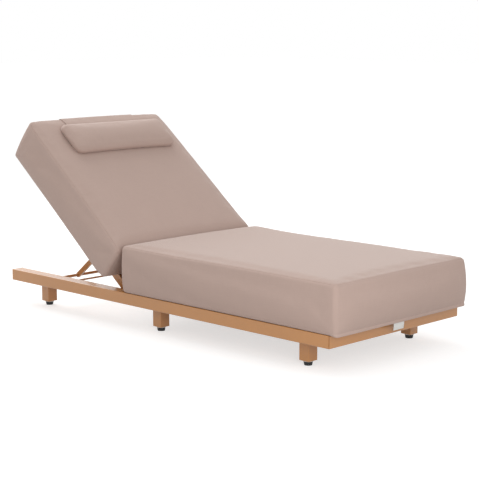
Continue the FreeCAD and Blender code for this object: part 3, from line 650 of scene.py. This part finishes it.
def carried(field, shares):
    """Movements of an even grid at other shares of the block, straight between the grid's points."""
    counts = np.array(field.shape[:3]) - 1
    spot = shares * counts
    base = np.minimum(np.floor(spot).astype(int), counts - 1)
    part = spot - base
    total = np.zeros((len(shares), 3))
    for corner in itertools.product((0, 1), repeat=3):
        weight = np.prod(np.where(corner, part, 1 - part), axis=1)
        total += weight[:, None] * field[tuple((base + corner).T)]
    return total


# Depth of the upright seams at the corners as a share of the rims'
CORNER_SEAM_SHARE = 0.1
# Seams and folds are faint at the base and rise to their full depth within a tenth of the height
SEAM_AT_BASE, SEAM_RISE = 0.2, 8
# How far from a seam the small folds fade, and their lengths
FOLD_REACH = 0.03
FOLD_LENGTHS = (0.034, 0.045, 0.058, 0.071, 0.09)


def padded_cover(name, place, padding, cover, cell, material, sewn=1.0, sag=None):
    """A finished padded piece: swollen cover, sewn seams with small folds, a hem and a weave map.

    Points move along their outward directions: in by bell curves of their distances from the seams and
    the hem, and in and out by ripples that fade away from the seams.
    """
    hems = (0.0, 0.0, padding.hem)
    grid = [stops(length, cell, padding.edge, hem) for length, hem in zip(padding.span, hems)]
    steps, quads, fronts = shell([len(line) - 1 for line in grid])
    shares = np.stack([line[step] for line, step in zip(grid, steps.T)], axis=1)
    points, way = padding.surface(shares)
    rim, corner = padding.seam_distances(shares)
    points += carried(swollen(padding, cell, cover.swell_limit), shares)
    groove = -cover.seam_depth * (np.exp(-(rim / cover.seam_width) ** 2)
                                  + CORNER_SEAM_SHARE * np.exp(-(corner / cover.seam_width) ** 2))
    folds = cover.pucker * np.exp(-rim / FOLD_REACH) * ripples(points, FOLD_LENGTHS)
    if padding.hem:
        above = shares[:, 2] * padding.span[2] - padding.hem
        groove -= cover.seam_depth * np.exp(-(above / STITCH_WIDTH) ** 2)
    depth = sewn * (groove + folds * ~padding.held(shares))
    points += way * (depth * smooth(shares[:, 2] * SEAM_RISE + SEAM_AT_BASE))[:, None]
    points += padding.low
    if sag is not None:
        points[:, 2] -= sag(points)
    item = new_object(name, place.world(points), quads)
    flat = shares * padding.span
    sides = np.array([(1, 2), (0, 2), (0, 1)])[fronts]
    corners = np.take_along_axis(flat[quads], sides[:, None, :], axis=2)
    item.data.uv_layers.new(name=WEAVE_MAP).data.foreach_set("uv", corners.ravel())
    item.data.materials.append(material)
    soften(item)
    return item


def new_strip(name, place, profile, across, material):
    """A strip of cloth: a profile of places along and up, carried across, with a weave map in metres.

    Returns the object, the length of the profile, and each point's place in the profile and across.
    """
    along = np.append(0.0, np.cumsum(np.linalg.norm(np.diff(profile, axis=0), axis=1)))
    u, v = np.meshgrid(np.arange(len(profile)), np.arange(len(across)), indexing="ij")
    points = np.stack([profile[u, 0], across[v], profile[u, 1]], axis=-1).reshape(-1, 3)
    quads = cells(np.arange(u.size).reshape(u.shape).T)
    item = new_object(name, place.world(points), quads)
    chart = np.stack([along[u], across[v]], axis=-1).reshape(-1, 2)
    item.data.uv_layers.new(name=WEAVE_MAP).data.foreach_set("uv", chart[quads].ravel())
    item.data.materials.append(material)
    return item, float(along[-1]), u.ravel(), across[v].ravel()


def thicken(item, thickness, offset):
    """Give a strip its thickness: outwards at an offset of 1, inwards at -1."""
    body = item.modifiers.new("cloth_thickness", "SOLIDIFY")
    body.thickness = thickness
    body.offset = offset


def declare_cover(item, body, node):
    """Parent a padded piece to its body and hide the plain solid that it stands for."""
    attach(item, body)
    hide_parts(node)


def cover_material(context):
    """The one cloth that all covers share."""
    cover = context.scene.lounger_cover
    return bpy.data.materials.get("cover_cloth") or cover_cloth("cover_cloth", cover.color, cover.thread)


def cushion_padding(place, node, cover):
    """Padding of a large cushion that fills the space of its plain solid."""
    low, high = place.extent(node)
    padding = Padding(low, high, cover.edge, cover.base_edge, cover.crown, cover.length_crown,
                      cover.bulge, cover.pull)
    padding.corner = cover.corner
    padding.hem = cover.hem
    return padding


# Seat cover: shift of its low corner, growth past its plain solid, bulges of its ends, rise of its top
# at the head and the run of that rise
SEAT_SHIFT, SEAT_GROWTH = (-0.004, -0.004, 0.0003), (0.028, 0.008, 0.007)
SEAT_END_BULGES = (0.0, 0.014)
SEAT_RISE, SEAT_RISE_RUN = 0.005, 0.4
# The lip that hangs over the foot rail: its drop, flare and edge rounding, and its gap to the rail
LIP_DROP, LIP_FLARE, LIP_EDGE, LIP_GAP = 0.002, 0.005, 0.004, 0.003


def seat_padding(cover):
    """Padding of the seat cushion, whose lip hangs over the foot rail."""
    padding = cushion_padding(SEAT_AXES, "seat_cushion", cover)
    padding.grow(SEAT_SHIFT, SEAT_GROWTH)
    padding.end_bulges = SEAT_END_BULGES
    padding.top_rise, padding.rise_run = SEAT_RISE, SEAT_RISE_RUN
    padding.lip_drop, padding.lip_flare, padding.lip_edge = LIP_DROP, LIP_FLARE, LIP_EDGE
    padding.lip_run = padding.low[0] + padding.span[0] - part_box("foot_rail")[1].x - LIP_GAP
    padding.held_end = 0
    return padding


# Back cover: shift and growth as on the seat, rounding of the base and the brow at its low end as a
# height and a run, narrowing towards the head, and lean of its head end
BACK_SHIFT, BACK_GROWTH = (0.0, -0.013, 0.0), (0.0, 0.013, 0.0)
BACK_BASE, BACK_BROW = (0.026, 0.09), (0.034, 0.05)
BACK_TAPER, HEAD_LEAN = 0.006, 0.037


def back_padding(cover):
    """Padding of the back cushion, which is rounded at its low end and leans in at its head."""
    padding = cushion_padding(BACK_AXES, "back_cushion", cover)
    padding.grow(BACK_SHIFT, BACK_GROWTH)
    padding.base_lift, padding.base_run = BACK_BASE
    padding.brow_drop, padding.brow_run = BACK_BROW
    padding.taper = BACK_TAPER
    padding.end_tucks = (cover.corner_tuck, 0.0)
    padding.end_leans = (HEAD_LEAN, 0.0)
    padding.held_end = 1
    return padding


# Pillow cover: shift and growth as on the seat, drawn-in sides, corner rounding, bulges of its ends, and
# depth of its seams as a share of the cushions'
PILLOW_SHIFT, PILLOW_GROWTH = (-0.005, -0.014, 0.0), (0.045, 0.006, 0.0)
PILLOW_PULL, PILLOW_CORNER, PILLOW_END_BULGES = 0.004, 0.03, (0.006, 0.006)
PILLOW_SEAM_SHARE = 0.35


def pillow_padding(pillow):
    """Padding of the head pillow."""
    low, high = PILLOW_AXES.extent("head_pillow")
    padding = Padding(low, high, pillow.edge, pillow.base_edge, pillow.crown, 0.0, pillow.bulge,
                      PILLOW_PULL)
    padding.grow(PILLOW_SHIFT, PILLOW_GROWTH)
    padding.corner = PILLOW_CORNER
    padding.end_bulges = PILLOW_END_BULGES
    return padding


# Flap: how far it goes past its solid under the pillow, lies below its solid's top and stands off the
# cushion's end
FLAP_TUCK, FLAP_SINK, FLAP_STAND = 0.01, 0.003, 0.002
# Gap from the flap to the cushion and to the weight, and height above the weight where its drop ends
FLAP_GAP, FLAP_DROP_END = 0.0012, 0.012
# Where the cloth's loop round the weight starts and ends, in half turns from the outside
LOOP_START, LOOP_END = -0.3, 1.35
# Points of the flap over the cushion, round its edge, down its end and round the weight
RUN_POINTS, BEND_POINTS, DROP_POINTS, LOOP_POINTS = 10, 9, 12, 15
# Points of the drop that hang free above the loop, points across the middle and points at each side
FREE_POINTS, MIDDLE_POINTS, SIDE_POINTS = 3, 43, 9
# Distance of the flap's side stitching from its edges, and its depth
FLAP_STITCH, FLAP_STITCH_DEPTH = 0.006, 0.0009


def flap_profile(cover):
    """Places along and up of the flap's cloth, seen from its side.

    A straight run lies on the cushion, a quarter circle goes round its edge, a straight drop hangs down
    its head end, and an arc goes round the weight: down its outside, under it, up its inside and over.
    """
    high = BACK_AXES.extent("pillow_flap")[1]
    hem_low, hem_high = BACK_AXES.extent("flap_weight")
    hem = (hem_low + hem_high) / 2
    hem_radius = (hem_high[2] - hem_low[2]) / 2 + FLAP_GAP
    reach = cover.edge + FLAP_STAND
    top = high[2] - FLAP_SINK
    end = BACK_AXES.extent("back_cushion")[0][0] - FLAP_STAND
    run = np.stack([np.linspace(high[0] + FLAP_TUCK, end + reach, RUN_POINTS), np.full(RUN_POINTS, top)], 1)
    turn = np.linspace(0, math.pi / 2, BEND_POINTS)
    bend = np.stack([end + reach - reach * np.sin(turn), top - reach + reach * np.cos(turn)], 1)
    heights = np.linspace(top - reach, hem[2] + FLAP_DROP_END, DROP_POINTS)
    drop = np.stack([np.full(DROP_POINTS, end), heights], 1)
    loop = np.linspace(LOOP_START, LOOP_END, LOOP_POINTS) * math.pi
    sleeve = np.stack([hem[0] - hem_radius * np.cos(loop), hem[2] - hem_radius * np.sin(loop)], 1)
    return np.concatenate([run, bend[1:], drop[1:], sleeve])


# Tag: width, drop and middle across the lounger
TAG_WIDTH, TAG_DROP, TAG_MIDDLE = 0.064, 0.032, -0.028
# How far the tag reaches up into the lip and stands inside its end, and its lean, belly and fold radius
TAG_SEWN, TAG_INSET, TAG_LEAN, TAG_BELLY, TAG_FOLD = 0.003, 0.007, 0.003, 0.0015, 0.0012
# Thickness, thread spacing and sheen of the tag's tape
TAPE_THICKNESS, TAPE_THREAD, TAPE_SHEEN = 0.0005, 0.0007, 0.1
# Points of the tag down each face, round its fold and across
TAG_POINTS, FOLD_POINTS, TAG_CROSS_POINTS = 13, 7, 15


def tag_profile(seat):
    """Places along and up of the tag's tape, seen from its side.

    It goes down by a parabola and half a sine wave, round a half circle, and up the same way in front.
    """
    top = seat.low[2] - seat.lip_drop + TAG_SEWN
    face = seat.low[0] + seat.span[0] - TAG_INSET
    down = np.linspace(0, 1, TAG_POINTS)
    depths = face + TAG_LEAN * (1 - down) ** 2 + TAG_BELLY * np.sin(down * math.pi)
    line = np.stack([depths, top - TAG_DROP * down], 1)
    fold = np.linspace(0, math.pi, FOLD_POINTS)[1:]
    x, z = line[-1]
    turn = np.stack([x + TAG_FOLD - TAG_FOLD * np.cos(fold), z - TAG_FOLD * np.sin(fold)], 1)
    front = line[::-1] + np.array((2 * TAG_FOLD, 0.0))
    return np.concatenate([line, turn, front[1:]])


class LOUNGER_OT_finish_frame(bpy.types.Operator):
    """Coat the frame and finish its fittings"""

    bl_idname = "lounger.finish_frame"
    bl_label = "Finish Frame"

    def execute(self, context):
        finish = context.scene.lounger_finish
        materials = {
            "frame_coating": frame_coating(finish.coating),
            "glide_black": moulded("glide_black", finish.glide, roughness=0.5, grain=900.0),
            "collar_white": moulded("collar_white", finish.collar, roughness=0.4, grain=700.0),
            "bush_nylon": moulded("bush_nylon", finish.bush, roughness=0.35, grain=800.0),
            "screw_steel": turned_steel(finish.steel),
            "cushion_fabric": cover_material(context),
        }
        for node, item in frame["nodes"].items():
            item.data.materials.clear()
            item.data.materials.append(materials[SLOTS[node]])
        return {"FINISHED"}


class LOUNGER_OT_make_seat_cushion(bpy.types.Operator):
    """Make the seat cushion"""

    bl_idname = "lounger.make_seat_cushion"
    bl_label = "Make Seat Cushion"

    def execute(self, context):
        cover = context.scene.lounger_cover
        item = padded_cover("seat_cover", SEAT_AXES, seat_padding(cover), cover, cover.cell,
                            cover_material(context))
        declare_cover(item, "frame", "seat_cushion")
        return {"FINISHED"}


class LOUNGER_OT_make_back_cushion(bpy.types.Operator):
    """Make the back cushion"""

    bl_idname = "lounger.make_back_cushion"
    bl_label = "Make Back Cushion"

    def execute(self, context):
        cover = context.scene.lounger_cover
        item = padded_cover("back_cover", BACK_AXES, back_padding(cover), cover, cover.cell,
                            cover_material(context))
        declare_cover(item, "loose_back", "back_cushion")
        return {"FINISHED"}


class LOUNGER_OT_make_head_pillow(bpy.types.Operator):
    """Make the head pillow"""

    bl_idname = "lounger.make_head_pillow"
    bl_label = "Make Head Pillow"

    def execute(self, context):
        cover, pillow = context.scene.lounger_cover, context.scene.lounger_pillow
        half_cushion = BACK_AXES.extent("back_cushion")[1][1]

        def settle(points):
            """The pillow follows the crown of the cushion under it."""
            return cover.crown * (points[:, 0] / half_cushion) ** 2

        item = padded_cover("pillow_cover", PILLOW_AXES, pillow_padding(pillow), cover, pillow.cell,
                            cover_material(context), PILLOW_SEAM_SHARE, settle)
        declare_cover(item, "pillow", "head_pillow")
        return {"FINISHED"}


class LOUNGER_OT_make_pillow_flap(bpy.types.Operator):
    """Make the flap that hangs over the head end, with its weighted hem"""

    bl_idname = "lounger.make_pillow_flap"
    bl_label = "Make Pillow Flap"

    def execute(self, context):
        cover, pillow = context.scene.lounger_cover, context.scene.lounger_pillow
        low, high = (corner[1] for corner in BACK_AXES.extent("pillow_flap"))
        profile = flap_profile(cover)
        beside = np.linspace(0.0, 2 * FLAP_STITCH, SIDE_POINTS)[:-1]
        middle = np.linspace(low + 2 * FLAP_STITCH, high - 2 * FLAP_STITCH, MIDDLE_POINTS)
        across = np.concatenate([low + beside, middle, high - beside[::-1]])
        item, length, rows, sides = new_strip("pillow_flap_cloth", BACK_AXES, profile, across,
                                              cover_material(context))
        add_group(item, "lying", rows < len(profile) - LOOP_POINTS - FREE_POINTS)
        settle = item.modifiers.new("settle", "SHRINKWRAP")
        settle.target = bpy.data.objects["back_cover"]
        settle.wrap_method = "NEAREST_SURFACEPOINT"
        settle.wrap_mode = "ABOVE_SURFACE"
        settle.offset = FLAP_GAP
        settle.vertex_group = "lying"
        settled = bpy.data.meshes.new_from_object(item.evaluated_get(context.evaluated_depsgraph_get()))
        item.modifiers.clear()
        item.data = settled
        places, outward = np.empty(len(rows) * 3), np.empty(len(rows) * 3)
        settled.vertices.foreach_get("co", places)
        settled.vertices.foreach_get("normal", outward)
        inside = np.minimum(sides - low, high - sides)
        groove = FLAP_STITCH_DEPTH * np.exp(-((inside - FLAP_STITCH) / STITCH_WIDTH) ** 2)
        settled.vertices.foreach_set("co", places - outward * np.repeat(groove, 3))
        thicken(item, pillow.flap_thickness, offset=1.0)
        soften(item)
        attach(item, "pillow")
        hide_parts("pillow_flap")
        high - low
        return {"FINISHED"}


class LOUNGER_OT_make_tag(bpy.types.Operator):
    """Make the plain tag that hangs from the seat cushion at the foot end"""

    bl_idname = "lounger.make_tag"
    bl_label = "Make Tag"

    def execute(self, context):
        profile = tag_profile(seat_padding(context.scene.lounger_cover))
        across = np.linspace(TAG_MIDDLE - TAG_WIDTH / 2, TAG_MIDDLE + TAG_WIDTH / 2, TAG_CROSS_POINTS)
        tape = cover_cloth("tag_tape", context.scene.lounger_finish.tag, TAPE_THREAD, TAPE_SHEEN)
        item, length, _, _ = new_strip("plain_tag", SEAT_AXES, profile, across, tape)
        thicken(item, TAPE_THICKNESS, offset=-1.0)
        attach(item, "frame")
        return {"FINISHED"}


WHITE = (1.0, 1.0, 1.0, 1.0)
# Floor: half its width, its colour under the object and as it shows, and what brings that near white
FLOOR_REACH = 30.0
FLOOR_LIT, FLOOR_SHOWN, FLOOR_LIFT = (0.6, 0.595, 0.59, 1.0), (0.55, 0.55, 0.55, 1.0), 0.62
# What the lamps look at
LAMP_TARGET = Vector((0.1, 0.0, 0.3))


class LOUNGER_OT_make_stage(bpy.types.Operator):
    """Make the floor, the light and the camera"""

    bl_idname = "lounger.make_stage"
    bl_label = "Make Stage"

    def execute(self, context):
        scene, stage = context.scene, context.scene.lounger_stage
        scene.view_settings.view_transform = "Standard"
        self.make_floor()
        self.make_sky(scene, stage.sky)
        self.make_lamp(scene, "key", stage.key, stage.key_size, stage.key_place)
        self.make_lamp(scene, "fill", stage.fill, stage.fill_size, stage.fill_place)
        data = bpy.data.cameras.new("camera")
        data.lens = stage.lens
        camera = bpy.data.objects.new("camera", data)
        scene.collection.objects.link(camera)
        camera.location = stage.camera_place
        camera.rotation_euler = stage.camera_turn
        scene.camera = camera
        return {"FINISHED"}

    def make_floor(self):
        """A wide pale floor that shows white to the camera and keeps the shadow."""
        corners = FLOOR_REACH * np.array([(-1, -1, 0), (1, -1, 0), (1, 1, 0), (-1, 1, 0)])
        floor = new_object("floor", corners, np.array([(0, 1, 2, 3)]))
        paint = new_paint("pale_floor")
        plain = paint.add("ShaderNodeBsdfDiffuse", None, {"Color": FLOOR_LIT}).value()
        pale = paint.add("ShaderNodeBsdfDiffuse", None, {"Color": FLOOR_SHOWN}).value()
        lift = paint.add("ShaderNodeEmission", None, {"Color": WHITE, "Strength": FLOOR_LIFT}).value()
        bright = paint.add("ShaderNodeAddShader", None, {0: pale, 1: lift}).value()
        paint.shown_apart("ShaderNodeOutputMaterial", plain, bright)
        floor.data.materials.append(paint.owner)

    def make_sky(self, scene, strength):
        """Even light all round, white where the camera or a reflection sees it."""
        scene.world = scene.world or bpy.data.worlds.new("world")
        paint = Paint(scene.world)
        soft, white = (paint.add("ShaderNodeBackground", None, {"Color": WHITE, "Strength": level}).value()
                       for level in (strength, 1.0))
        paint.shown_apart("ShaderNodeOutputWorld", soft, white)

    def make_lamp(self, scene, name, power, size, place):
        """A large soft lamp that looks at the middle of the lounger."""
        data = bpy.data.lights.new(name, "AREA")
        data.energy = power
        data.shape = "DISK"
        data.size = size
        lamp = bpy.data.objects.new(name, data)
        scene.collection.objects.link(lamp)
        lamp.location = place
        lamp.visible_camera = False
        lamp.rotation_mode = "QUATERNION"
        lamp.rotation_quaternion = (LAMP_TARGET - lamp.location).to_track_quat("-Z", "Y")


OPERATORS = (LOUNGER_OT_finish_frame, LOUNGER_OT_make_seat_cushion, LOUNGER_OT_make_back_cushion,
             LOUNGER_OT_make_head_pillow, LOUNGER_OT_make_pillow_flap, LOUNGER_OT_make_tag,
             LOUNGER_OT_make_stage)
GROUPS = {"lounger_cover": LoungerCover, "lounger_pillow": LoungerPillow, "lounger_finish": LoungerFinish,
          "lounger_stage": LoungerStage}


class LOUNGER_PT_sidebar(bpy.types.Panel):
    """Steps and settings of the lounger's dressing"""

    bl_label = "Sun Lounger"
    bl_idname = "LOUNGER_PT_sidebar"
    bl_space_type = "VIEW_3D"
    bl_region_type = "UI"
    bl_category = "Lounger"

    def draw(self, context):
        column = self.layout.column()
        for operator in OPERATORS:
            column.operator(operator.bl_idname)
        for group in GROUPS:
            settings = getattr(context.scene, group)
            for name in settings.__annotations__:
                column.prop(settings, name)


def register():
    """Register the settings, steps and panel."""
    for name, group in GROUPS.items():
        bpy.utils.register_class(group)
        setattr(bpy.types.Scene, name, PointerProperty(type=group))
    for item in OPERATORS + (LOUNGER_PT_sidebar,):
        bpy.utils.register_class(item)


def unregister():
    """Take the panel, steps and settings out again."""
    for item in reversed(OPERATORS + (LOUNGER_PT_sidebar,)):
        bpy.utils.unregister_class(item)
    for name, group in reversed(GROUPS.items()):
        delattr(bpy.types.Scene, name)
        bpy.utils.unregister_class(group)


def main():
    """Run every step in order."""
    register()
    bpy.ops.lounger.make_stage()
    bpy.ops.lounger.finish_frame()
    bpy.ops.lounger.make_seat_cushion()
    bpy.ops.lounger.make_back_cushion()
    bpy.ops.lounger.make_head_pillow()
    bpy.ops.lounger.make_pillow_flap()
    bpy.ops.lounger.make_tag()


if __name__ == "__main__":
    main()
